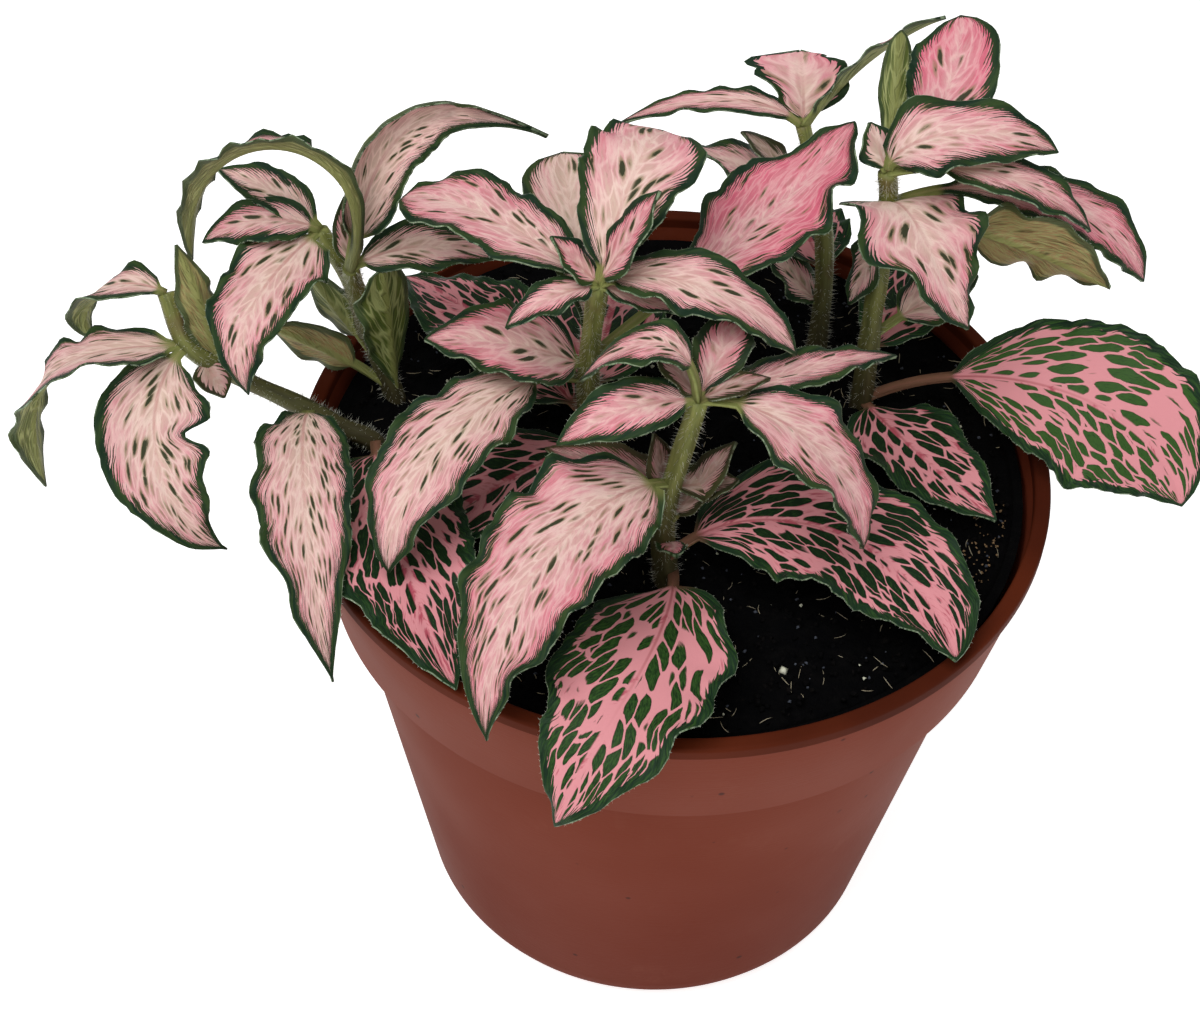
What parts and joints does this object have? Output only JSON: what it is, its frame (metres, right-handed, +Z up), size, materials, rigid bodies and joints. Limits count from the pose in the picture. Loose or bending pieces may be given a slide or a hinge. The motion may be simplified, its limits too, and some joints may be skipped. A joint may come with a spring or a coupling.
{
  "type": "potted nerve plant",
  "caption": "Low, spreading house plant with waved, net-veined pink and dark green leaves on short hairy stems, in peat soil in a round tapered plastic nursery pot.",
  "frame": {"origin": "centre of the pot's flat base, on the surface that it stands on", "axes": "+Z up out of the pot; -Y towards the side that the plant is looked at from, +X to the right"},
  "size_m": [0.1849, 0.1292, 0.1596],
  "materials": {
    "pot": "satin",
    "soil": "rough",
    "foliage": "matte"
  },
  "bodies": {
    "root": {"pot": "pot", "soil": "soil", "shoot_left": "foliage", "shoot_back_left": "foliage", "shoot_middle": "foliage", "shoot_front": "foliage", "shoot_right": "foliage", "shoot_back": "foliage"}
  },
  "joints": []
}
